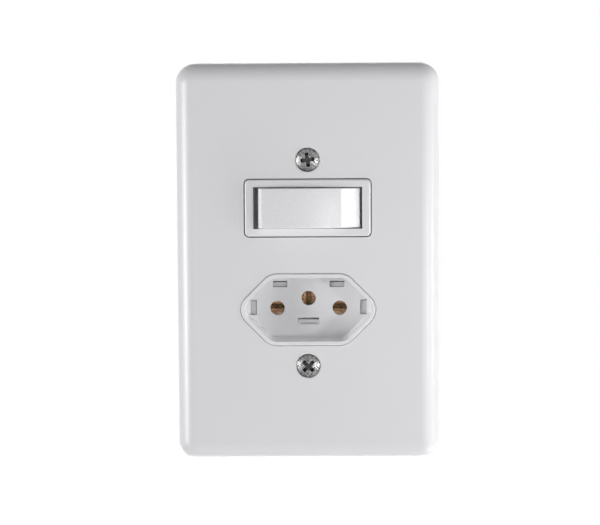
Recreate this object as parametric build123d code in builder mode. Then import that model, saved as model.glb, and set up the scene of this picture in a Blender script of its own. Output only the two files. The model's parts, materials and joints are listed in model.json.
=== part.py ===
from build123d import *
from math import cos, radians, sin, sqrt, tan
import os

# Switch and socket combination on a steel strap, behind a white wall plate.
# Millimetres. X runs right, Z runs up, and the front faces -Y. The origin is on
# the wall plane, midway between the two box screws. "Out" is the distance in
# front of the wall plane, so what lies inside the wall box has a negative out.

# Wall plate. It covers the strap by this much at each end.
plate_width = 79.0
plate_cover = 7.0
plate_depth = 7.0
plate_wall = 2.0
plate_corner = 6.0
plate_edge_round = 5.4
plate_rib = 1.2
plate_rib_height = 2.4
plate_rib_side_inset = 9.5
plate_rib_end_inset = 14.0
collar_height = 1.4

# Screws that hold the plate to the strap
plate_screw_spacing = 62.0
plate_screw_shank = 1.45
plate_screw_head = 3.6
plate_screw_dome = 1.0
plate_screw_reach = 4.0
top_screw_turn = 8.0
bottom_screw_turn = 45.0
screw_boss = 3.4
head_sink = 0.15
seat_edge_round = 0.55

# Cross recesses of the screws: span and width of the cross, and depth
plate_cross = (4.5, 1.15, 2.0)
terminal_cross = (3.6, 0.85, 1.4)
cross_taper = 22.0

# Mounting strap
strap_side_margin = 4.3
strap_end_margin = 7.0
strap_corner = 4.0
strap_bend_round = 0.9
strap_thickness = 1.0
strap_flange_height = 3.6
strap_flange_length = 76.0
strap_collar = 2.6
strap_collar_depth = 2.0
box_screw_spacing = 83.0
box_slot_width = 4.5
box_slot_length = 9.0

# Clearances
bezel_gap = 0.3
socket_gap = 0.15
window_gap = 0.2
fit_gap = 0.1
thread_gap = 0.05
running_gap = 0.06

# Switch module
switch_height_up = 16.6
bezel_width = 37.7
bezel_height = 17.1
bezel_corner = 1.3
bezel_proud = 0.3
bezel_edge_round = 0.6
aperture_width = 32.6
aperture_height = 12.5
switch_body_wall = 1.1
switch_body_depth = 18.0

# Snap hooks that hold the modules behind the strap
snap_reach = 0.8
snap_length = 3.5
snap_width = 6.0
snap_slit = 0.8
snap_slit_length = 7.0

# Rocker, drawn about its pivot: "rise" is the distance in front of the pivot
pivot_out = 2.6
rocker_tilt_angle = 6.0
rocker_end_gap = 1.1
rocker_side_gap = 0.25
rocker_rise = 7.6
rocker_wall = 1.3
face_radius = 70.0
facet_width = 5.8
facet_slope = 16.0
rocker_end_bevel = 0.8
rocker_end_round = 0.3
rocker_side_round = 0.35
skirt_rise = 1.6
ear_drop = 2.2
ear_half_width = 3.0
ear_spread = 2.5
ear_clear = 4.4
trunnion_radius = 1.2
trunnion_length = 1.3
stem_radius = 2.6
stem_drop = 6.6
spring_seat_rise = 2.9
stop_gap = 0.15
stop_length = 2.4
stop_thickness = 1.6

# Plunger and its spring, in the rocker's stem
plunger_radius = 1.5
plunger_back = 3.0
plunger_gap = 0.3
plunger_nose_round = 1.43
spring_wire = 0.2
spring_turns = 6
spring_end_gap = 0.05

# Seesaw contact, drawn about the tip of the knife edge
seesaw_out = -8.0
seesaw_tilt_angle = 5.0
seesaw_strip = 0.8
seesaw_width = 5.0
seesaw_front = 0.5
seesaw_tip_margin = 2.0
seesaw_free_end = 6.5
notch_half_width = 0.7
notch_clearance = 0.12
lip_offset = 4.4
lip_height = 1.1
tip_to_post = 4.1
tip_radius = 1.4
tip_height = 0.8
tip_bevel = 0.2
contact_gap = 0.2

# Terminals
terminal_strip = 0.8
knife_bevel = 0.7
terminal_width = 5.0
foot_width = 7.4
foot_margin = 3.6
post_margin = 2.7
switch_screw_drop = 1.4
terminal_screw_shank = 1.45
terminal_screw_reach = 3.6
terminal_head = 2.7
terminal_head_height = 1.9
terminal_head_round = 0.63
shank_point = 0.48
clamp_side = 6.4
clamp_thickness = 0.9
clamp_corner = 0.6
wire_groove = 0.5
well_width = 8.0
well_depth = 6.0
well_top = 4.4

# Socket module
socket_height_up = -14.0
hex_half_height = 10.8
hex_flat_half = 11.55
hex_corner = 5.2
rim_wall = 1.2
rim_round = 0.35
recess_floor_depth = 9.5
recess_draft = 1.8
floor_thickness = 2.5
socket_flange = 1.2
socket_flange_thickness = 1.2
socket_skirt = 1.2
socket_skirt_depth = 3.3
pin_spacing = 19.0
pin_line_drop = 0.4
earth_offset = 3.0
pin_hole_radius = 2.2
window_width = 4.3
window_height = 1.8
upper_window_spacing = 17.4
upper_window_up = 7.0
side_window_spacing = 33.4
side_window_up = -0.1
slot_width = 6.3
slot_height = 2.0
slot_up = -4.35
tongue_height = 1.35
tongue_sink = 0.1
tongue_groove_width = 5.0
tongue_groove_height = 0.45
tongue_groove_depth = 0.4
tongue_groove_lip = 0.1
peg_sink = 0.5
peg_head_gap = 0.35
base_back_out = -24.0
chamber_radius = 3.1
sleeve_bore = 2.25
sleeve_wall = 0.55
sleeve_slit = 0.9
sleeve_slit_length = 9.0
contact_lip_depth = 2.8
contact_lip_strip = 0.4
contact_lip_gap = 0.8
socket_screw_drop = 5.6
chamber_margin = 3.4

# Sizes and places that follow from those above
socket_half_width = hex_flat_half + hex_half_height - hex_corner * (sqrt(2) - 1)
strap_width = 2 * (socket_half_width + socket_flange + strap_side_margin)
strap_height = box_screw_spacing + box_slot_length + 2 * strap_end_margin
plate_height = strap_height + 2 * plate_cover
bezel_out = plate_depth + bezel_proud
plate_inner_out = plate_depth - plate_wall
switch_body_width = aperture_width + 2 * switch_body_wall
switch_body_height = aperture_height + 2 * switch_body_wall
rocker_width = aperture_width - 2 * rocker_end_gap
rocker_height = aperture_height - 2 * rocker_side_gap
post_outer = aperture_width / 2 - post_margin
post_inner = post_outer - terminal_strip
terminal_screw_offset = post_inner - foot_margin
tip_offset = post_inner - tip_to_post
seesaw_tip_end = tip_offset + seesaw_tip_margin
plate_screw_spots = [(0, plate_screw_spacing / 2), (0, -plate_screw_spacing / 2)]
seesaw_front_out = seesaw_out + seesaw_front
seesaw_back = seesaw_front - seesaw_strip
tip_face_rise = seesaw_back - tip_height
fixed_tip_out = (
    seesaw_out
    + tip_face_rise * cos(radians(seesaw_tilt_angle))
    - tip_offset * sin(radians(seesaw_tilt_angle))
    - contact_gap
)
pad_front_out = fixed_tip_out - tip_height
switch_base_out = pad_front_out - terminal_strip - fit_gap
switch_floor_out = -switch_body_depth
socket_floor_out = bezel_out - recess_floor_depth
socket_inner_out = socket_floor_out - floor_thickness
socket_skirt_out = socket_inner_out - socket_skirt_depth
sleeve_front_out = socket_inner_out - 2 * sleeve_wall
socket_shelf_out = base_back_out + well_depth
contact_spots = {
    "left": (-pin_spacing / 2, -pin_line_drop),
    "right": (pin_spacing / 2, -pin_line_drop),
    "earth": (0.0, earth_offset - pin_line_drop),
}


def level(out):
    """Plane facing the room, this far in front of the wall."""
    return Plane.XZ.offset(out)


def seat_plane(across, up, out, facing, turn=0.0):
    """Plane of a screw's seat, facing the room (-1) or the wall box (+1)."""
    across_dir = (cos(radians(turn)), 0, sin(radians(turn)))
    return Plane(origin=(across, -out, up), x_dir=across_dir, z_dir=(0, facing, 0))


def tilted_plan(out, up, angle):
    """Plan view about a vertical pivot, turned by this angle. Its Y points out."""
    across_dir = (cos(radians(angle)), sin(radians(angle)), 0)
    return Plane(origin=(0, -out, up), x_dir=across_dir, z_dir=(0, 0, -1))


def tilted_level(plan, rise):
    """Plane square to a tilted plan's Y, this far in front of its pivot."""
    return Plane(origin=plan.origin + plan.y_dir * rise, x_dir=plan.x_dir, z_dir=plan.y_dir)


def socket_outline(growth):
    """The socket's rounded hexagon with 45 degree sides, grown all round."""
    half_height = hex_half_height + growth
    half_flat = hex_flat_half + growth * (sqrt(2) - 1)
    reach = half_flat + half_height
    with BuildSketch() as outline:
        Polygon(
            (reach, 0),
            (half_flat, half_height),
            (-half_flat, half_height),
            (-reach, 0),
            (-half_flat, -half_height),
            (half_flat, -half_height),
            align=None,
        )
        fillet(outline.vertices(), hex_corner + growth)
    return outline.sketch


def cross_recess(seat, top, cross):
    """The tapering cross cut into a screw's head."""
    span, wing, depth = cross
    with BuildPart() as recess:
        with BuildSketch(seat.offset(top)):
            Rectangle(span, wing)
            Rectangle(wing, span)
        extrude(amount=-depth)
        with BuildSketch(seat.offset(top)):
            Circle(span / 2)
        extrude(amount=-depth, taper=cross_taper, mode=Mode.INTERSECT)
    return recess.part


def raised_screw(seat, length):
    """Raised countersunk screw: the seat is the plane of its head's rim."""
    cone = plate_screw_head - plate_screw_shank
    profile_plane = Plane(origin=seat.origin, x_dir=seat.x_dir, z_dir=-seat.y_dir)
    recess = cross_recess(seat, plate_screw_dome, plate_cross)
    with BuildPart() as screw:
        with BuildSketch(profile_plane):
            with BuildLine():
                TangentArc((0, plate_screw_dome), (plate_screw_head, 0), tangent=(1, 0))
                Polyline(
                    (plate_screw_head, 0),
                    (plate_screw_shank, -cone),
                    (plate_screw_shank, -length),
                    (0, -length),
                    (0, plate_screw_dome),
                )
            make_face()
        revolve(axis=Axis(seat.origin, seat.z_dir))
        add(recess, mode=Mode.SUBTRACT)
        chamfer(screw.edges().sort_by(Axis(seat.origin, seat.z_dir))[0], shank_point)
    return screw.part


def pan_screw(seat, length):
    """Pan head screw: the seat is the plane that its head bears on."""
    recess = cross_recess(seat, terminal_head_height, terminal_cross)
    with BuildPart() as screw:
        with BuildSketch(seat):
            Circle(terminal_head)
        extrude(amount=terminal_head_height)
        fillet(screw.edges().sort_by(Axis(seat.origin, seat.z_dir))[-1], terminal_head_round)
        with BuildSketch(seat):
            Circle(terminal_screw_shank)
        extrude(amount=-length)
        add(recess, mode=Mode.SUBTRACT)
        chamfer(screw.edges().sort_by(Axis(seat.origin, seat.z_dir))[0], shank_point)
    return screw.part


def clamp_plate(seat):
    """Square washer under a terminal screw, grooved on both sides for a wire."""
    groove_centre = (clamp_side + 2 * terminal_screw_shank) / 4
    with BuildPart() as clamp:
        with BuildSketch(seat):
            RectangleRounded(clamp_side, clamp_side, clamp_corner)
            Circle(terminal_screw_shank + fit_gap, mode=Mode.SUBTRACT)
        extrude(amount=clamp_thickness)
        for side in (-1, 1):
            groove_plane = Plane(
                origin=seat.origin + seat.x_dir * side * groove_centre,
                x_dir=seat.x_dir,
                z_dir=seat.y_dir,
            )
            with BuildSketch(groove_plane):
                Circle(wire_groove)
            extrude(amount=clamp_side, both=True, mode=Mode.SUBTRACT)
    return clamp.part


def contact_lips(across, up, opening):
    """Two lips that lead a pin into a sleeve, one on each side of a narrow gap."""
    outer = sleeve_bore + sleeve_wall / 2
    inner = contact_lip_gap / 2
    lip_plane = Plane(
        origin=(across, -sleeve_front_out, up),
        x_dir=(0, 1, 0),
        z_dir=Vector(0, 1, 0).cross(Vector(*opening)),
    )
    with BuildPart() as lips:
        with BuildSketch(lip_plane):
            for side in (-1, 1):
                Polygon(
                    (0, side * outer),
                    (0, side * (outer - contact_lip_strip)),
                    (contact_lip_depth, side * inner),
                    (contact_lip_depth, side * (inner + contact_lip_strip)),
                    (2 * contact_lip_strip, side * outer),
                    align=None,
                )
        extrude(amount=outer, both=True)
        with BuildSketch(level(sleeve_front_out)):
            with Locations((across, up)):
                Circle(outer)
        extrude(amount=-contact_lip_depth, mode=Mode.INTERSECT)
    return lips.part


def snap_hook(edge, out, up_from, up_to):
    """Ramp behind the strap, on the +X side of a module whose edge is given."""
    with BuildPart() as hook:
        with BuildSketch(Plane.XY.offset(up_from)):
            Polygon(
                (edge, -out),
                (edge + snap_reach, -out),
                (edge, -out + snap_length),
                align=None,
            )
        extrude(amount=up_to - up_from)
    return hook.part


# Wall plate: a thin shell with rounded edges, open towards the wall
with BuildPart() as wall_plate:
    with BuildSketch(level(0)):
        RectangleRounded(plate_width, plate_height, plate_corner)
    extrude(amount=plate_depth)
    fillet(wall_plate.faces().sort_by(Axis.Y)[0].edges(), plate_edge_round)
    offset(amount=-plate_wall, openings=wall_plate.faces().sort_by(Axis.Y)[-1])
    # collars behind the two windows, bosses for the screws and two long ribs
    with BuildSketch(level(plate_inner_out)):
        with Locations((0, switch_height_up)):
            RectangleRounded(
                bezel_width + 2 * (bezel_gap + plate_rib),
                bezel_height + 2 * (bezel_gap + plate_rib),
                bezel_corner + bezel_gap + plate_rib,
            )
        with Locations((0, socket_height_up)):
            add(socket_outline(socket_gap + plate_rib))
    extrude(amount=-collar_height)
    with BuildSketch(level(plate_inner_out)):
        with GridLocations(plate_width - 2 * plate_rib_side_inset, 0, 2, 1):
            Rectangle(plate_rib, plate_height - 2 * plate_rib_end_inset)
    extrude(amount=-plate_rib_height)
    with BuildSketch(level(plate_inner_out)):
        with Locations(*plate_screw_spots):
            Circle(screw_boss)
    extrude(amount=-(plate_inner_out - strap_thickness))
    # windows for the bezel and the socket
    with BuildSketch(level(0)):
        with Locations((0, switch_height_up)):
            RectangleRounded(
                bezel_width + 2 * bezel_gap,
                bezel_height + 2 * bezel_gap,
                bezel_corner + bezel_gap,
            )
        with Locations((0, socket_height_up)):
            add(socket_outline(socket_gap))
    extrude(amount=plate_depth, mode=Mode.SUBTRACT)
    with Locations(level(plate_depth)):
        with Locations(*plate_screw_spots):
            CounterSinkHole(
                plate_screw_shank + window_gap,
                plate_screw_head + head_sink + thread_gap,
                counter_sink_angle=90,
            )
    fillet(
        wall_plate.edges()
        .filter_by(GeomType.CIRCLE)
        .filter_by(lambda edge: abs(edge.center().Y + plate_depth) < 0.01)
        .filter_by(lambda edge: edge.radius > plate_screw_head - 0.01)
        .filter_by(lambda edge: edge.radius < plate_screw_head + head_sink + window_gap),
        seat_edge_round,
    )
wall_plate.part.label = "wall_plate"

# Screws through the plate into the strap
plate_screws = {}
for name, side, turn in (("top", 1, top_screw_turn), ("bottom", -1, bottom_screw_turn)):
    head_plane = seat_plane(
        0, side * plate_screw_spacing / 2, plate_depth - head_sink, -1, turn
    )
    plate_screws[name] = raised_screw(head_plane, plate_depth - head_sink + plate_screw_reach)
    plate_screws[name].label = f"plate_screw_{name}"

# Mounting strap: pressed steel with flanged long sides and tapped collars
with BuildPart() as mounting_strap:
    with BuildSketch(level(0)):
        RectangleRounded(strap_width, strap_height, strap_corner)
        with Locations((0, switch_height_up)):
            Rectangle(
                switch_body_width + 2 * window_gap,
                switch_body_height + 2 * window_gap,
                mode=Mode.SUBTRACT,
            )
        with Locations((0, socket_height_up)):
            add(socket_outline(window_gap), mode=Mode.SUBTRACT)
        with GridLocations(0, box_screw_spacing, 1, 2):
            SlotOverall(box_slot_length, box_slot_width, rotation=90, mode=Mode.SUBTRACT)
    extrude(amount=strap_thickness)
    with BuildSketch(level(0)):
        with GridLocations(strap_width - strap_thickness, 0, 2, 1):
            Rectangle(strap_thickness, strap_flange_length)
    extrude(amount=strap_flange_height)
    fillet(
        mounting_strap.edges()
        .filter_by(Axis.Z)
        .filter_by_position(Axis.Y, -0.01, 0.01)
        .filter_by(lambda edge: abs(edge.center().X) > strap_width / 2 - 0.01),
        strap_bend_round,
    )
    with BuildSketch(level(0)):
        with Locations(*plate_screw_spots):
            Circle(strap_collar)
    extrude(amount=-strap_collar_depth)
    with BuildSketch(level(-strap_collar_depth)):
        with Locations(*plate_screw_spots):
            Circle(plate_screw_shank + thread_gap)
    extrude(amount=strap_collar_depth + strap_thickness, mode=Mode.SUBTRACT)
mounting_strap.part.label = "mounting_strap"

# Switch housing: bezel in front, body through the strap, open at the back
skirt_reach = rocker_width / 2
stop_out = (
    pivot_out
    + skirt_rise * cos(radians(rocker_tilt_angle))
    - skirt_reach * sin(radians(rocker_tilt_angle))
    - stop_gap
)
switch_hook = snap_hook(
    switch_body_width / 2,
    -thread_gap,
    switch_height_up - snap_width / 2,
    switch_height_up + snap_width / 2,
)
with BuildPart() as switch_housing:
    with BuildSketch(level(strap_thickness)):
        with Locations((0, switch_height_up)):
            RectangleRounded(bezel_width, bezel_height, bezel_corner)
    extrude(amount=bezel_out - strap_thickness)
    fillet(switch_housing.faces().sort_by(Axis.Y)[0].edges(), bezel_edge_round)
    with BuildSketch(level(strap_thickness)):
        with Locations((0, switch_height_up)):
            Rectangle(switch_body_width, switch_body_height)
    extrude(amount=-(strap_thickness + switch_body_depth))
    with BuildSketch(level(-switch_body_depth)):
        with Locations((0, switch_height_up)):
            Rectangle(aperture_width, aperture_height)
    extrude(amount=switch_body_depth + bezel_out, mode=Mode.SUBTRACT)
    # end stops under the rocker's skirt
    with BuildSketch(level(stop_out)):
        with Locations((0, switch_height_up)):
            with GridLocations(aperture_width - stop_length, 0, 2, 1):
                Rectangle(stop_length, aperture_height)
    extrude(amount=-stop_thickness)
    # blind bearings for the trunnions
    with BuildSketch(Plane.XY.offset(switch_height_up)):
        with Locations((0, -pivot_out)):
            Circle(trunnion_radius + running_gap)
    extrude(
        amount=aperture_height / 2 + trunnion_length + fit_gap,
        both=True,
        mode=Mode.SUBTRACT,
    )
    # snap tongues: a hook on each end, freed by a slit on each side
    with BuildSketch(level(-snap_slit)):
        with Locations((0, switch_height_up)):
            with GridLocations(
                switch_body_width - switch_body_wall, snap_width + 2 * snap_slit, 2, 2
            ):
                Rectangle(2 * switch_body_wall, snap_slit)
    extrude(amount=-snap_slit_length, mode=Mode.SUBTRACT)
    add(switch_hook)
    add(switch_hook.mirror(Plane.YZ))
switch_housing.part.label = "switch_housing"

# Rocker: an arched button with one bevelled end, hollow behind, with trunnions
# and a stem. It rests with its right end pressed in.
rocker_plan = tilted_plan(pivot_out, switch_height_up, rocker_tilt_angle)
half_rocker = rocker_width / 2
crease = half_rocker - facet_width


def face_rise(across, depth=0.0):
    """Rise of the rocker's arched face, or of a surface this deep behind it."""
    radius = face_radius - depth
    return rocker_rise - face_radius + sqrt(radius * radius - across * across)


def facet_rise(across, depth=0.0):
    """Rise of the bevelled end, which leans away from the crease."""
    slope = radians(facet_slope)
    return face_rise(crease) - (across - crease) * tan(slope) - depth / cos(slope)


with BuildPart() as rocker:
    with BuildSketch(rocker_plan) as rocker_profile:
        with BuildLine():
            ThreePointArc(
                (-half_rocker, face_rise(half_rocker)),
                (0, rocker_rise),
                (crease, face_rise(crease)),
            )
            Polyline(
                (crease, face_rise(crease)),
                (half_rocker, facet_rise(half_rocker)),
                (half_rocker, skirt_rise),
                (ear_half_width + ear_spread, skirt_rise),
                (ear_half_width, -ear_drop),
                (-ear_half_width, -ear_drop),
                (-ear_half_width - ear_spread, skirt_rise),
                (-half_rocker, skirt_rise),
                (-half_rocker, face_rise(half_rocker)),
            )
        make_face()
        left_corner = rocker_profile.vertices().group_by(Axis.X)[0].sort_by(Axis.Y)[-1]
        chamfer(left_corner, rocker_end_bevel)
        right_corner = rocker_profile.vertices().group_by(Axis.X)[-1].sort_by(Axis.Y)[-1]
        fillet(right_corner, rocker_end_round)
    extrude(amount=rocker_height / 2, both=True)
    front_edges = rocker.edges().filter_by(
        lambda edge: rocker_plan.to_local_coords(edge.center()).Y > skirt_rise + rocker_wall
        and abs(abs(edge.center().Z - switch_height_up) - rocker_height / 2) < 0.01
        and abs(rocker_plan.to_local_coords(edge.center()).X) < half_rocker - 0.01
    )
    fillet(front_edges, rocker_side_round)
    # hollow behind the face
    inner_half = half_rocker - rocker_wall
    with BuildSketch(rocker_plan):
        with BuildLine():
            ThreePointArc(
                (-inner_half, face_rise(inner_half, rocker_wall)),
                (0, rocker_rise - rocker_wall),
                (crease, facet_rise(crease, rocker_wall)),
            )
            Polyline(
                (crease, facet_rise(crease, rocker_wall)),
                (inner_half, facet_rise(inner_half, rocker_wall)),
                (inner_half, -ear_clear),
                (-inner_half, -ear_clear),
                (-inner_half, face_rise(inner_half, rocker_wall)),
            )
        make_face()
    extrude(amount=rocker_height / 2 - rocker_wall, both=True, mode=Mode.SUBTRACT)
    # stem with its cross ribs, and the trunnions outside the two ears
    ceiling = rocker_rise - rocker_wall
    with BuildSketch(tilted_level(rocker_plan, ceiling)):
        Circle(stem_radius)
    extrude(amount=-(ceiling + stem_drop))
    with BuildSketch(tilted_level(rocker_plan, ceiling)):
        Rectangle(rocker_wall, rocker_height - rocker_wall)
    extrude(amount=-(ceiling + trunnion_radius))
    for side in (-1, 1):
        ear_plane = Plane(
            origin=rocker_plan.origin + Vector(0, 0, side * (rocker_height / 2 - rocker_wall)),
            z_dir=(0, 0, side),
        )
        with BuildSketch(ear_plane):
            Circle(trunnion_radius)
        extrude(amount=rocker_wall + (aperture_height - rocker_height) / 2 + trunnion_length)
    with BuildSketch(tilted_level(rocker_plan, -stem_drop)):
        Circle(plunger_radius + running_gap)
    extrude(amount=stem_drop + spring_seat_rise, mode=Mode.SUBTRACT)
rocker.part.label = "rocker"

# Plunger: a round-nosed pin that presses on the seesaw
plunger_nose = pivot_out - seesaw_front_out - plunger_gap
with BuildPart() as plunger:
    with BuildSketch(tilted_level(rocker_plan, -plunger_back)):
        Circle(plunger_radius)
    extrude(amount=-(plunger_nose - plunger_back))
    nose_edge = plunger.edges().sort_by(Axis(rocker_plan.origin, rocker_plan.y_dir))[0]
    fillet(nose_edge, plunger_nose_round)
plunger.part.label = "plunger"

# Plunger spring: a coil between the stem's seat and the plunger's back
spring_bottom = tilted_level(rocker_plan, -plunger_back + spring_wire + spring_end_gap)
spring_coil_radius = plunger_radius - spring_wire - running_gap
spring_height = spring_seat_rise + plunger_back - 2 * (spring_wire + spring_end_gap)
with BuildPart() as plunger_spring:
    with BuildLine():
        coil = Helix(
            pitch=spring_height / spring_turns,
            height=spring_height,
            radius=spring_coil_radius,
            center=spring_bottom.origin,
            direction=spring_bottom.z_dir,
        )
    with BuildSketch(Plane(origin=coil @ 0, z_dir=coil % 0)):
        RegularPolygon(spring_wire, 6)
    sweep(path=coil, is_frenet=True)
plunger_spring.part.label = "plunger_spring"

# Seesaw contact: a brass strip notched for the knife edge, with two lips
seesaw_plan = tilted_plan(seesaw_out, switch_height_up, -seesaw_tilt_angle)
with BuildPart() as seesaw_contact:
    with BuildSketch(seesaw_plan):
        with BuildLine():
            Polyline(
                (-seesaw_tip_end, seesaw_back),
                (-notch_half_width, seesaw_back),
                (0, notch_clearance),
                (notch_half_width, seesaw_back),
                (seesaw_free_end, seesaw_back),
                (seesaw_free_end, seesaw_front),
                (lip_offset + seesaw_strip, seesaw_front),
                (lip_offset + seesaw_strip, seesaw_front + lip_height),
                (lip_offset, seesaw_front + lip_height),
                (lip_offset, seesaw_front),
                (-lip_offset, seesaw_front),
                (-lip_offset, seesaw_front + lip_height),
                (-lip_offset - seesaw_strip, seesaw_front + lip_height),
                (-lip_offset - seesaw_strip, seesaw_front),
                (-seesaw_tip_end, seesaw_front),
                close=True,
            )
        make_face()
    extrude(amount=seesaw_width / 2, both=True)
seesaw_contact.part.label = "seesaw_contact"

with BuildPart() as moving_tip:
    with BuildSketch(tilted_level(seesaw_plan, seesaw_back)):
        with Locations((-tip_offset, 0)):
            Circle(tip_radius)
    extrude(amount=-tip_height)
    chamfer(
        moving_tip.edges().sort_by(Axis(seesaw_plan.origin, seesaw_plan.y_dir))[0],
        tip_bevel,
    )
moving_tip.part.label = "moving_tip"

# Common terminal: knife edge in front, foot behind on the right
foot_end = terminal_screw_offset + foot_margin
half_strip = terminal_strip / 2
foot_out = switch_floor_out - terminal_strip
with BuildPart() as common_terminal:
    with BuildSketch(Plane.XY.offset(switch_height_up)):
        with BuildLine():
            Polyline(
                (0, -seesaw_out),
                (half_strip, -seesaw_out + knife_bevel),
                (half_strip, -switch_floor_out),
                (foot_end, -switch_floor_out),
                (foot_end, -foot_out),
                (-half_strip, -foot_out),
                (-half_strip, -seesaw_out + knife_bevel),
                close=True,
            )
        make_face()
    extrude(amount=terminal_width / 2, both=True)
    with BuildSketch(level(switch_floor_out)):
        with Locations((terminal_screw_offset, switch_height_up - switch_screw_drop)):
            Rectangle(foot_width, foot_width)
    extrude(amount=-terminal_strip)
    with BuildSketch(level(switch_floor_out)):
        with Locations((terminal_screw_offset, switch_height_up - switch_screw_drop)):
            Circle(terminal_screw_shank + thread_gap)
    extrude(amount=-terminal_strip, mode=Mode.SUBTRACT)
common_terminal.part.label = "common_terminal"

# Switched terminal: pad under the fixed tip, post, and foot behind on the left
pad_end = tip_offset - tip_radius - fit_gap
foot_inner = terminal_screw_offset - foot_width / 2
with BuildPart() as switched_terminal:
    with BuildSketch(Plane.XY.offset(switch_height_up)):
        with BuildLine():
            Polyline(
                (-pad_end, -pad_front_out),
                (-post_outer, -pad_front_out),
                (-post_outer, -foot_out),
                (-foot_inner, -foot_out),
                (-foot_inner, -switch_floor_out),
                (-post_inner, -switch_floor_out),
                (-post_inner, -pad_front_out + terminal_strip),
                (-pad_end, -pad_front_out + terminal_strip),
                close=True,
            )
        make_face()
    extrude(amount=terminal_width / 2, both=True)
    with BuildSketch(level(switch_floor_out)):
        with Locations((-terminal_screw_offset, switch_height_up - switch_screw_drop)):
            Rectangle(foot_width, foot_width)
    extrude(amount=-terminal_strip)
    with BuildSketch(level(switch_floor_out)):
        with Locations((-terminal_screw_offset, switch_height_up - switch_screw_drop)):
            Circle(terminal_screw_shank + thread_gap)
    extrude(amount=-terminal_strip, mode=Mode.SUBTRACT)
switched_terminal.part.label = "switched_terminal"

with BuildPart() as fixed_tip:
    with BuildSketch(level(pad_front_out)):
        with Locations((-tip_offset, switch_height_up)):
            Circle(tip_radius)
    extrude(amount=tip_height)
    chamfer(fixed_tip.edges().sort_by(Axis.Y)[0], tip_bevel)
fixed_tip.part.label = "fixed_tip"

# Switch base: plugs into the back of the housing and carries the terminals
with BuildPart() as switch_base:
    with BuildSketch(level(switch_base_out)):
        with Locations((0, switch_height_up)):
            Rectangle(aperture_width - 2 * fit_gap, aperture_height - 2 * fit_gap)
    extrude(amount=-(switch_base_out - switch_floor_out))
    with BuildSketch(level(switch_floor_out)):
        with Locations((0, switch_height_up)):
            Rectangle(switch_body_width, switch_body_height)
    extrude(amount=-well_depth)
    # slots for the knife post and the pad's post
    with BuildSketch(level(switch_base_out)):
        with Locations(
            (0, switch_height_up),
            (-(post_outer + post_inner) / 2, switch_height_up),
        ):
            Rectangle(terminal_strip + 2 * fit_gap, terminal_width + 2 * fit_gap)
    extrude(amount=-(switch_base_out - switch_floor_out), mode=Mode.SUBTRACT)
    # wells behind, open downwards, and the channel of the common foot
    well_bottom = switch_height_up - switch_body_height / 2
    well_height = switch_body_height / 2 + well_top
    with BuildSketch(level(switch_floor_out)):
        with Locations((0, well_bottom + well_height / 2)):
            with GridLocations(2 * terminal_screw_offset + terminal_strip, 0, 2, 1):
                Rectangle(well_width + terminal_strip + 2 * fit_gap, well_height)
        with Locations((foot_end / 2 - half_strip, switch_height_up)):
            Rectangle(foot_end + 2 * fit_gap, terminal_width + 2 * fit_gap)
    extrude(amount=-well_depth, mode=Mode.SUBTRACT)
    with BuildSketch(level(switch_floor_out)):
        with Locations((0, switch_height_up - switch_screw_drop)):
            with GridLocations(2 * terminal_screw_offset, 0, 2, 1):
                Circle(terminal_screw_shank + fit_gap)
    extrude(amount=terminal_screw_reach + fit_gap, mode=Mode.SUBTRACT)
switch_base.part.label = "switch_base"

# Socket face: hexagonal recess with three pin holes, moulded in one with the
# skirt that the base plugs into
socket_place = Location((0, socket_height_up))
window_spots = [
    (-upper_window_spacing / 2, socket_height_up + upper_window_up),
    (upper_window_spacing / 2, socket_height_up + upper_window_up),
]
side_window_spots = [
    (-side_window_spacing / 2, socket_height_up + side_window_up),
    (side_window_spacing / 2, socket_height_up + side_window_up),
]
socket_hook = snap_hook(
    hex_half_height, -thread_gap, -snap_width / 2, snap_width / 2
).rotate(Axis.Y, -90)
with BuildPart() as socket_face:
    with BuildSketch(level(socket_skirt_out)):
        with Locations(socket_place):
            add(socket_outline(0))
    extrude(amount=bezel_out - socket_skirt_out)
    fillet(socket_face.faces().sort_by(Axis.Y)[0].edges(), rim_round)
    with BuildSketch(level(strap_thickness)):
        with Locations(socket_place):
            add(socket_outline(socket_flange))
    extrude(amount=socket_flange_thickness)
    with BuildSketch(level(bezel_out)):
        with Locations(socket_place):
            add(socket_outline(-rim_wall))
    extrude(amount=-recess_floor_depth, taper=recess_draft, mode=Mode.SUBTRACT)
    with BuildSketch(level(socket_skirt_out)):
        with Locations(socket_place):
            add(socket_outline(-socket_skirt))
    extrude(amount=socket_skirt_depth, mode=Mode.SUBTRACT)
    with BuildSketch(level(socket_inner_out)):
        for across, up in contact_spots.values():
            with Locations((across, socket_height_up + up)):
                Circle(pin_hole_radius)
        with Locations(*window_spots):
            Rectangle(window_width, window_height)
        with Locations(*side_window_spots):
            Rectangle(window_height, window_width)
        with Locations((0, socket_height_up + slot_up)):
            Rectangle(slot_width, slot_height)
    extrude(amount=floor_thickness, mode=Mode.SUBTRACT)
    for side in (1, -1):
        placed = socket_hook if side == 1 else socket_hook.mirror(Plane.XY)
        add(placed.translate((0, 0, socket_height_up)))
socket_face.part.label = "socket_face"

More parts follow.
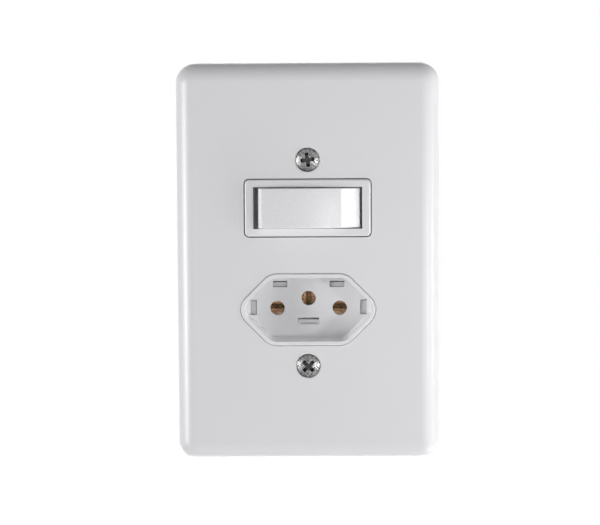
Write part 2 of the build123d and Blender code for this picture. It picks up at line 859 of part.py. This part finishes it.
# Socket base: carries the contacts, with pegs up into the face's windows and
# three terminal channels behind, open downwards
with BuildPart() as socket_base:
    with BuildSketch(level(socket_inner_out - fit_gap)):
        with Locations(socket_place):
            add(socket_outline(-socket_skirt - fit_gap))
    extrude(amount=-socket_skirt_depth)
    with BuildSketch(level(socket_skirt_out - fit_gap)):
        with Locations(socket_place):
            add(socket_outline(0))
    extrude(amount=-(socket_skirt_out - fit_gap - base_back_out))
    peg_height = window_height - fit_gap - peg_head_gap
    peg_drop = (peg_head_gap - fit_gap) / 2
    tongue_up = socket_height_up + slot_up - (slot_height - tongue_height) / 2 + fit_gap
    with BuildSketch(level(socket_inner_out - fit_gap)):
        with Locations(*[(across, up - peg_drop) for across, up in window_spots]):
            Rectangle(window_width - 2 * fit_gap, peg_height)
        with Locations(*side_window_spots):
            Rectangle(window_height - 2 * fit_gap, window_width - 2 * fit_gap)
    extrude(amount=floor_thickness + fit_gap - peg_sink)
    with BuildSketch(level(socket_inner_out - fit_gap)):
        with Locations((0, tongue_up)):
            Rectangle(slot_width - 2 * fit_gap, tongue_height)
    extrude(amount=floor_thickness + fit_gap - tongue_sink)
    groove_drop = (tongue_height - tongue_groove_height) / 2 - tongue_groove_lip
    with BuildSketch(level(socket_floor_out - tongue_sink)):
        with Locations((0, tongue_up - groove_drop)):
            Rectangle(tongue_groove_width, tongue_groove_height)
    extrude(amount=-tongue_groove_depth, mode=Mode.SUBTRACT)
    for across, up in contact_spots.values():
        chamber_top = up + chamber_margin
        channel_height = hex_half_height + chamber_top
        with BuildSketch(level(socket_inner_out)):
            with Locations((across, socket_height_up + up)):
                Circle(chamber_radius)
        extrude(amount=-(socket_inner_out - socket_shelf_out), mode=Mode.SUBTRACT)
        with BuildSketch(level(socket_shelf_out)):
            with Locations((across, socket_height_up + chamber_top - channel_height / 2)):
                Rectangle(well_width, channel_height)
        extrude(amount=-well_depth, mode=Mode.SUBTRACT)
        with BuildSketch(level(socket_shelf_out)):
            with Locations((across, socket_height_up - socket_screw_drop)):
                Circle(terminal_screw_shank + fit_gap)
        extrude(amount=terminal_screw_reach + fit_gap, mode=Mode.SUBTRACT)
socket_base.part.label = "socket_base"

# Contacts: a split brass sleeve for each pin, with two lips in its mouth,
# standing on a terminal foot
foot_bottom = socket_screw_drop + foot_margin
socket_contacts = {}
for name, (across, up) in contact_spots.items():
    foot_top = up + chamber_radius
    slit_size = (2 * chamber_radius, sleeve_slit)
    slit_turn = 90 if name == "earth" else 0
    opening = (1, 0, 0) if name == "earth" else (0, 0, 1)
    lips = contact_lips(across, socket_height_up + up, opening)
    with BuildPart() as contact:
        with BuildSketch(level(sleeve_front_out)):
            with Locations((across, socket_height_up + up)):
                Circle(sleeve_bore + sleeve_wall)
                Circle(sleeve_bore, mode=Mode.SUBTRACT)
        extrude(amount=-(sleeve_front_out - socket_shelf_out))
        with BuildSketch(level(sleeve_front_out)):
            with Locations((across, socket_height_up + up)):
                Rectangle(*slit_size, rotation=slit_turn)
        extrude(amount=-sleeve_slit_length, mode=Mode.SUBTRACT)
        add(lips)
        with BuildSketch(level(socket_shelf_out)):
            with Locations((across, socket_height_up + (foot_top - foot_bottom) / 2)):
                Rectangle(foot_width, foot_top + foot_bottom)
            with Locations((across, socket_height_up - socket_screw_drop)):
                Circle(terminal_screw_shank + thread_gap, mode=Mode.SUBTRACT)
        extrude(amount=-terminal_strip)
    contact.part.label = f"{name}_contact"
    socket_contacts[name] = contact.part

# Terminal screws and their clamp plates, all facing the wall box
terminal_spots = {
    "common": (terminal_screw_offset, switch_height_up - switch_screw_drop, foot_out),
    "switched": (-terminal_screw_offset, switch_height_up - switch_screw_drop, foot_out),
}
for name, (across, up) in contact_spots.items():
    terminal_spots[name] = (
        across,
        socket_height_up - socket_screw_drop,
        socket_shelf_out - terminal_strip,
    )
terminal_pieces = []
for name, (across, up, out) in terminal_spots.items():
    clamp = clamp_plate(seat_plane(across, up, out, 1))
    clamp.label = f"{name}_clamp"
    head_seat = seat_plane(across, up, out - clamp_thickness, 1)
    screw = pan_screw(head_seat, clamp_thickness + terminal_strip + terminal_screw_reach)
    screw.label = f"{name}_screw"
    terminal_pieces += [clamp, screw]

os.makedirs("parts", exist_ok=True)
export_step(wall_plate.part, "parts/wall_plate.step")
export_step(mounting_strap.part, "parts/mounting_strap.step")
export_step(switch_housing.part, "parts/switch_housing.step")
export_step(switch_base.part, "parts/switch_base.step")
export_step(rocker.part, "parts/rocker.step")
export_step(plunger.part, "parts/plunger.step")
export_step(plunger_spring.part, "parts/plunger_spring.step")
export_step(seesaw_contact.part, "parts/seesaw_contact.step")
export_step(moving_tip.part, "parts/moving_tip.step")
export_step(fixed_tip.part, "parts/fixed_tip.step")
export_step(common_terminal.part, "parts/common_terminal.step")
export_step(switched_terminal.part, "parts/switched_terminal.step")
export_step(socket_face.part, "parts/socket_face.step")
export_step(socket_base.part, "parts/socket_base.step")
for piece in [*plate_screws.values(), *socket_contacts.values(), *terminal_pieces]:
    export_step(piece, f"parts/{piece.label}.step")
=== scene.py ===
import json
from math import cos, pi, radians, sin

import bmesh
import bpy
from mathutils import Matrix, Vector


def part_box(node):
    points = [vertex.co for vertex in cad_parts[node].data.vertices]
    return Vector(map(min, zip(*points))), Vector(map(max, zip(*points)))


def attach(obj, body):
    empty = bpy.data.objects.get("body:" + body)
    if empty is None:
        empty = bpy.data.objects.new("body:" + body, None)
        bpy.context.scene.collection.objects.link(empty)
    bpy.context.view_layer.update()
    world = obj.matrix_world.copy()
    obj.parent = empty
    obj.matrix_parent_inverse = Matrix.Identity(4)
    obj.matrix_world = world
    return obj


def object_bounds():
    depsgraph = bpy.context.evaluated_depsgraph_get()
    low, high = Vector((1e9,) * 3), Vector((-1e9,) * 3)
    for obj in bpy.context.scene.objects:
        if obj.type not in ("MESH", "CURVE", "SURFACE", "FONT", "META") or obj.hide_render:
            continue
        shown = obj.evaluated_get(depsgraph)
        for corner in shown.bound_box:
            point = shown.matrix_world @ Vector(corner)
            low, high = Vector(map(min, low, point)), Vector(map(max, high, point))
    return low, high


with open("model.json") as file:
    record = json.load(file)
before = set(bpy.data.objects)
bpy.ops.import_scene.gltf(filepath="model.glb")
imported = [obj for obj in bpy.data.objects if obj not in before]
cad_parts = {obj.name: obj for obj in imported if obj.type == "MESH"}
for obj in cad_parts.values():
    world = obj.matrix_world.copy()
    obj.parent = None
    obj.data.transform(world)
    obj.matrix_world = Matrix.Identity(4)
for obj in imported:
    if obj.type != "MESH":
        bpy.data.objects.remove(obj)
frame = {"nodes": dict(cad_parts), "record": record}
cad_low, cad_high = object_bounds()
nodes = frame["nodes"]
scene = bpy.context.scene
MM = 0.001

# Camera, as the photograph was taken: nearly square on, a little from above
CAMERA_AZIMUTH = 0.95
CAMERA_ELEVATION = 4.46
CAMERA_ROLL = -0.33
CAMERA_DISTANCE = 600 * MM
CAMERA_TARGET = Vector((-2.39, -7.0, 0.25)) * MM
CAMERA_LENS = 120.1
CAMERA_SENSOR = 36.0
CAMERA_NEAR = 0.01
CAMERA_FAR = 50

# Surroundings: a white floor well below the part and a white background
WHITE = (1, 1, 1, 1)
FLOOR_DROP = 1.5
FLOOR_HALF = 12.0
FLOOR_GREY = 0.9
FLOOR_ROUGHNESS = 0.9
FLOOR_GLOW = 0.97
WORLD_LEVEL = 0.05

# Lamps: azimuth and elevation of the place they shine from, distance, size, watts
LAMPS = {
    "key_left": (-59, -4, 0.9, 0.20, 1.16),
    "graze_left": (-69, -4, 0.9, 0.20, 2.60),
    "side_left": (-86, -4, 0.9, 0.20, 0.50),
    "soft_left": (-56, 0, 0.9, 0.45, 1.55),
    "low_left": (-58, -25, 0.9, 0.20, 0.34),
    "strip_front": (22, -5, 0.5, 0.09, 0.24),
    "strip_right": (45, -5, 0.5, 0.09, 0.67),
    "side_right": (75, -4, 0.5, 0.11, 0.53),
    "low_right": (75, -30, 0.9, 0.45, 2.40),
    "high_right": (75, 32, 0.9, 0.45, 1.20),
    "under_right": (80, -50, 0.9, 0.20, 1.70),
    "over_back": (180, 20, 0.9, 0.60, 2.50),
    "under_back": (180, -50, 0.9, 0.60, 5.00),
}

# Finishes. Colours are linear, and scales are features per metre.
PLASTICS = {
    # slot: colour, roughness, tint spread, grain bump, sink bump
    "plate_plastic": ((0.778, 0.778, 0.796), 0.34, 0.008, 0.010, 0.008),
    "rocker_plastic": ((0.810, 0.810, 0.824), 0.27, 0.006, 0.008, 0.006),
    "socket_plastic": ((0.790, 0.790, 0.806), 0.38, 0.010, 0.030, 0.010),
    "base_plastic": ((0.700, 0.700, 0.712), 0.50, 0.035, 0.100, 0.020),
}
METALS = {
    # slot: bright colour, dull colour, roughness range, grain scale, bump
    "strap_steel": ((0.62, 0.63, 0.64), (0.42, 0.43, 0.44), (0.22, 0.45), 900, 0.05),
    # painted shade: both colours far darker than nickel plating, so the heads look as dark
    # as in a dim room although they reflect the white background
    "screw_nickel": (
        (0.420, 0.415, 0.415), (0.028, 0.028, 0.028), (0.16, 0.36), 1500, 1.00
    ),
    "screw_zinc": ((0.60, 0.60, 0.56), (0.38, 0.38, 0.34), (0.24, 0.46), 2400, 0.10),
    "contact_brass": ((0.92, 0.69, 0.43), (0.76, 0.52, 0.29), (0.16, 0.36), 1300, 0.50),
    "contact_silver": (
        (0.80, 0.79, 0.76), (0.60, 0.59, 0.56), (0.22, 0.40), 2200, 0.06
    ),
    "spring_steel": ((0.46, 0.46, 0.47), (0.30, 0.30, 0.31), (0.20, 0.34), 3000, 0.05),
}
# A second colour in one band of depth: painted shade on the base seen through the recess's
# windows, dirt and painted shade in the screws' crosses, and painted highlight on the
# contacts' brass
DIRT_AND_PAINTED_LIGHT_BANDS = {
    # slot: colour, and the depths behind the wall plane, in mm, where the band
    # starts, is full, starts to fade and ends
    # painted shade: darker base plastic at the depth of the recess floor, where the
    # windows lie in shadow
    "base_plastic": ((0.58, 0.58, 0.59), (2.35, 2.60, 3.2, 3.6)),
    # dirt and painted shade: near black in the cross recesses of the screw heads
    "screw_nickel": ((0.06, 0.06, 0.06), (-7.35, -6.75, -5.4, -4.8)),
    # painted highlight: paler brass along the contact sleeves seen through the pin holes,
    # standing in for glints
    "contact_brass": ((0.86, 0.70, 0.56), (3.0, 4.0, 13.0, 14.0)),
}
PLASTIC_GRAIN = 2800
PLASTIC_GRAIN_DETAIL = 3
PLASTIC_SINK = 60
PLASTIC_SINK_DETAIL = 2
PATCH_DETAIL = 5
PIT_FINENESS = 2.5
PIT_DETAIL = 6
GRAIN_REACH = 0.05 * MM
PATCH_REACH = 0.10 * MM
SINK_REACH = 1.0 * MM
ROUGHNESS_SPREAD = 0.15
# The part of a noise texture's range that most of it lies in
NOISE_LOW = 0.25
NOISE_HIGH = 0.75

# CAD pieces whose sharp edges are broken, and by how much
SOFT_EDGES = {
    "switch_housing": 0.14 * MM,
    "rocker": 0.10 * MM,
    "socket_face": 0.14 * MM,
    "switch_base": 0.15 * MM,
    "socket_base": 0.15 * MM,
    "mounting_strap": 0.08 * MM,
    "plate_screw_top": 0.12 * MM,
    "plate_screw_bottom": 0.12 * MM,
}
SOFT_EDGE_SEGMENTS = 2
SHARP_ANGLE = 32
WELD_REACH = 0.001 * MM

# Thread on the ends of the plate screws, behind the strap's collars. Its place is
# given as depths behind the wall plane.
THREADED = ("plate_screw_top", "plate_screw_bottom")
THREAD_ROOT = 1.43 * MM
THREAD_CREST = 1.68 * MM
THREAD_PITCH = 0.6 * MM
THREAD_HALF_WIDTH = 0.26 * MM
THREAD_HALF_FLAT = 0.026 * MM
THREAD_START = 2.3 * MM
THREAD_END = 3.5 * MM
THREAD_STEPS = 40
THREAD_RUNOUT = 0.2


def direction(azimuth, elevation):
    """From the part towards this azimuth and elevation, in degrees."""
    a, e = radians(azimuth), radians(elevation)
    return Vector((sin(a) * cos(e), -cos(a) * cos(e), sin(e)))


def add_camera():
    data = bpy.data.cameras.new("camera")
    data.sensor_width = CAMERA_SENSOR
    data.lens = CAMERA_LENS
    data.clip_start = CAMERA_NEAR
    data.clip_end = CAMERA_FAR
    camera = bpy.data.objects.new("camera", data)
    scene.collection.objects.link(camera)
    back = direction(CAMERA_AZIMUTH, CAMERA_ELEVATION)
    level = Vector((0, 0, 1)).cross(back).normalized()
    upright = back.cross(level)
    c, s = cos(radians(CAMERA_ROLL)), sin(radians(CAMERA_ROLL))
    right = level * c + upright * s
    up = upright * c - level * s
    turn = Matrix((right, up, back)).transposed().to_4x4()
    place = Matrix.Translation(CAMERA_TARGET + back * CAMERA_DISTANCE)
    camera.matrix_world = place @ turn
    scene.camera = camera


def add_lamp(name, azimuth, elevation, distance, size, watts):
    data = bpy.data.lights.new(name, "AREA")
    data.shape = "SQUARE"
    data.size = size
    data.energy = watts
    lamp = bpy.data.objects.new(name, data)
    scene.collection.objects.link(lamp)
    away = direction(azimuth, elevation)
    lamp.location = away * distance
    lamp.rotation_euler = (-away).to_track_quat("-Z", "Y").to_euler()


def background_rays(tree):
    """1 for the rays that should see the plain white background, 0 for the rest."""
    path = tree.nodes.new("ShaderNodeLightPath")
    shown = path.outputs["Is Camera Ray"]
    for name in ("Is Glossy Ray", "Is Transmission Ray"):
        either = tree.nodes.new("ShaderNodeMath")
        either.operation = "MAXIMUM"
        tree.links.new(shown, either.inputs[0])
        tree.links.new(path.outputs[name], either.inputs[1])
        shown = either.outputs[0]
    return shown


def add_world():
    world = bpy.data.worlds.new("studio")
    world.use_nodes = True
    tree = world.node_tree
    lit = tree.nodes["Background"]
    lit.inputs["Strength"].default_value = WORLD_LEVEL
    lit.inputs["Color"].default_value = WHITE
    white = tree.nodes.new("ShaderNodeBackground")
    white.inputs["Color"].default_value = WHITE
    white.inputs["Strength"].default_value = 1.0
    mix = tree.nodes.new("ShaderNodeMixShader")
    tree.links.new(background_rays(tree), mix.inputs[0])
    tree.links.new(lit.outputs[0], mix.inputs[1])
    tree.links.new(white.outputs[0], mix.inputs[2])
    tree.links.new(mix.outputs[0], tree.nodes["World Output"].inputs["Surface"])
    scene.world = world


def add_floor():
    """A pale floor that keeps shadows and glows white where it is background."""
    bpy.ops.mesh.primitive_plane_add(
        size=2 * FLOOR_HALF, location=(0, 0, cad_low.z - FLOOR_DROP)
    )
    floor = bpy.context.object
    floor.name = "floor"
    material, tree, shader = new_material("floor_white")
    shader.inputs["Base Color"].default_value = (FLOOR_GREY, FLOOR_GREY, FLOOR_GREY, 1)
    shader.inputs["Roughness"].default_value = FLOOR_ROUGHNESS
    shader.inputs["Specular IOR Level"].default_value = 0.0
    glow = tree.nodes.new("ShaderNodeEmission")
    glow.inputs["Color"].default_value = WHITE
    gain = tree.nodes.new("ShaderNodeMath")
    gain.operation = "MULTIPLY"
    gain.inputs[1].default_value = FLOOR_GLOW
    tree.links.new(background_rays(tree), gain.inputs[0])
    tree.links.new(gain.outputs[0], glow.inputs["Strength"])
    both = tree.nodes.new("ShaderNodeAddShader")
    tree.links.new(shader.outputs[0], both.inputs[0])
    tree.links.new(glow.outputs[0], both.inputs[1])
    tree.links.new(both.outputs[0], tree.nodes["Material Output"].inputs["Surface"])
    floor.data.materials.append(material)


def new_material(name):
    material = bpy.data.materials.new(name)
    material.use_nodes = True
    tree = material.node_tree
    return material, tree, tree.nodes["Principled BSDF"]


def noise(tree, scale, detail):
    """A noise texture in the row frame, with this many features a metre."""
    place = tree.nodes.new("ShaderNodeTexCoord")
    texture = tree.nodes.new("ShaderNodeTexNoise")
    texture.inputs["Scale"].default_value = scale
    texture.inputs["Detail"].default_value = detail
    tree.links.new(place.outputs["Object"], texture.inputs["Vector"])
    return texture.outputs["Fac"]


def mapped(tree, value, source, target, smooth=False):
    """This value with its source range stretched to the target range."""
    node = tree.nodes.new("ShaderNodeMapRange")
    if smooth:
        node.interpolation_type = "SMOOTHSTEP"
    limits = ("From Min", "From Max", "To Min", "To Max")
    for limit, number in zip(limits, (*source, *target)):
        node.inputs[limit].default_value = number
    tree.links.new(value, node.inputs["Value"])
    return node.outputs["Result"]


def spread(tree, value, low, high):
    """A noise, mapped to this range."""
    return mapped(tree, value, (NOISE_LOW, NOISE_HIGH), (low, high))


def blended(tree, value, first, second):
    """One colour running into another with this noise."""
    mix = tree.nodes.new("ShaderNodeMix")
    mix.data_type = "RGBA"
    mix.inputs["A"].default_value = (*first, 1)
    mix.inputs["B"].default_value = (*second, 1)
    tree.links.new(spread(tree, value, 0, 1), mix.inputs["Factor"])
    return mix.outputs["Result"]


def bumped(tree, height, strength, reach, below=None):
    """A bump from this height, on top of another bump if one is given."""
    bump = tree.nodes.new("ShaderNodeBump")
    bump.inputs["Strength"].default_value = strength
    bump.inputs["Distance"].default_value = reach
    tree.links.new(height, bump.inputs["Height"])
    if below:
        tree.links.new(below, bump.inputs["Normal"])
    return bump.outputs["Normal"]


def with_dirt_and_painted_light(tree, slot, colour):
    """This colour, with the slot's band colour of dirt and painted light in its band of
    depth if it has one.
    """
    if slot not in DIRT_AND_PAINTED_LIGHT_BANDS:
        return colour
    second, depths = DIRT_AND_PAINTED_LIGHT_BANDS[slot]
    start, full, fading, end = (depth * MM for depth in depths)
    place = tree.nodes.new("ShaderNodeTexCoord")
    axes = tree.nodes.new("ShaderNodeSeparateXYZ")
    tree.links.new(place.outputs["Object"], axes.inputs["Vector"])
    comes = mapped(tree, axes.outputs["Y"], (start, full), (0, 1), smooth=True)
    goes = mapped(tree, axes.outputs["Y"], (fading, end), (1, 0), smooth=True)
    # the band's mask, where the table's painted shade, painted highlight and dirt go
    band = tree.nodes.new("ShaderNodeMath")
    band.operation = "MULTIPLY"
    tree.links.new(comes, band.inputs[0])
    tree.links.new(goes, band.inputs[1])
    mix = tree.nodes.new("ShaderNodeMix")
    mix.data_type = "RGBA"
    tree.links.new(colour, mix.inputs["A"])
    mix.inputs["B"].default_value = (*second, 1)
    tree.links.new(band.outputs[0], mix.inputs["Factor"])
    return mix.outputs["Result"]


def moulded_plastic(slot, colour, roughness, tint, grain_bump, sink_bump):
    """Gloss or satin moulding: a faint grain over a hardly uneven surface."""
    material, tree, shader = new_material(slot)
    grain = noise(tree, PLASTIC_GRAIN, PLASTIC_GRAIN_DETAIL)
    sink = noise(tree, PLASTIC_SINK, PLASTIC_SINK_DETAIL)
    darker = [c * (1 - tint) for c in colour]
    lighter = [c * (1 + tint) for c in colour]
    tinted = with_dirt_and_painted_light(tree, slot, blended(tree, sink, darker, lighter))
    tree.links.new(tinted, shader.inputs["Base Color"])
    smoothest = roughness * (1 - ROUGHNESS_SPREAD)
    roughest = roughness * (1 + ROUGHNESS_SPREAD)
    rough = spread(tree, grain, smoothest, roughest)
    tree.links.new(rough, shader.inputs["Roughness"])
    uneven = bumped(tree, sink, sink_bump, SINK_REACH)
    normal = bumped(tree, grain, grain_bump, GRAIN_REACH, uneven)
    tree.links.new(normal, shader.inputs["Normal"])
    return material


def plated_metal(slot, bright, dull, roughness, scale, bump):
    """Metal whose plating is duller in patches and rough to match."""
    material, tree, shader = new_material(slot)
    shader.inputs["Metallic"].default_value = 1.0
    patches = noise(tree, scale, PATCH_DETAIL)
    pits = noise(tree, scale * PIT_FINENESS, PIT_DETAIL)
    colour = with_dirt_and_painted_light(tree, slot, blended(tree, patches, bright, dull))
    tree.links.new(colour, shader.inputs["Base Color"])
    tree.links.new(spread(tree, patches, *roughness), shader.inputs["Roughness"])
    coarse = bumped(tree, patches, bump, PATCH_REACH)
    normal = bumped(tree, pits, bump, GRAIN_REACH, coarse)
    tree.links.new(normal, shader.inputs["Normal"])
    return material


def soften(piece, width):
    """Breaks a CAD piece's sharp edges, as moulding and tumbling do."""
    weld = piece.modifiers.new("weld", "WELD")
    weld.merge_threshold = WELD_REACH
    bevel = piece.modifiers.new("broken_edges", "BEVEL")
    bevel.width = width
    bevel.segments = SOFT_EDGE_SEGMENTS
    bevel.limit_method = "ANGLE"
    bevel.angle_limit = radians(SHARP_ANGLE)
    bevel.harden_normals = True


def thread_mesh(name, centre):
    """A ridge wound round the Y axis through this centre, running out at both ends."""
    mesh = bmesh.new()
    turns = (THREAD_END - THREAD_START) / THREAD_PITCH
    count = round(THREAD_STEPS * turns)
    rings = []
    for i in range(count + 1):
        share = i / count
        angle = 2 * pi * turns * share
        depth = THREAD_START + (THREAD_END - THREAD_START) * share
        height = min(share, 1 - share, THREAD_RUNOUT) / THREAD_RUNOUT
        crest = THREAD_ROOT + (THREAD_CREST - THREAD_ROOT) * height
        profile = (
            (THREAD_ROOT, -THREAD_HALF_WIDTH),
            (crest, -THREAD_HALF_FLAT),
            (crest, THREAD_HALF_FLAT),
            (THREAD_ROOT, THREAD_HALF_WIDTH),
        )
        ring = []
        for radius, shift in profile:
            x = centre.x + radius * cos(angle)
            z = centre.z + radius * sin(angle)
            ring.append(mesh.verts.new((x, depth + shift, z)))
        rings.append(ring)
    for near, far in zip(rings, rings[1:]):
        for k in range(len(near)):
            after = (k + 1) % len(near)
            mesh.faces.new((near[k], near[after], far[after], far[k]))
    mesh.faces.new(rings[0])
    mesh.faces.new(rings[-1])
    bmesh.ops.recalc_face_normals(mesh, faces=mesh.faces)
    data = bpy.data.meshes.new(name)
    mesh.to_mesh(data)
    mesh.free()
    return data


def add_thread(screw, material):
    """The thread on the free end of this screw's shank."""
    low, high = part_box(screw)
    name = f"{screw}_thread"
    data = thread_mesh(name, (low + high) / 2)
    data.materials.append(material)
    thread = bpy.data.objects.new(name, data)
    scene.collection.objects.link(thread)
    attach(thread, "root")


materials = {slot: moulded_plastic(slot, *look) for slot, look in PLASTICS.items()}
materials.update({slot: plated_metal(slot, *look) for slot, look in METALS.items()})
for row in frame["record"]["subparts"]:
    piece = nodes[row["node"]]
    piece.data.materials.clear()
    piece.data.materials.append(materials[row["material_slot"]])
for name, width in SOFT_EDGES.items():
    soften(nodes[name], width)
for screw in THREADED:
    add_thread(screw, materials["screw_nickel"])

add_camera()
add_world()
add_floor()
for name, lamp in LAMPS.items():
    add_lamp(name, *lamp)
scene.view_settings.view_transform = "Standard"
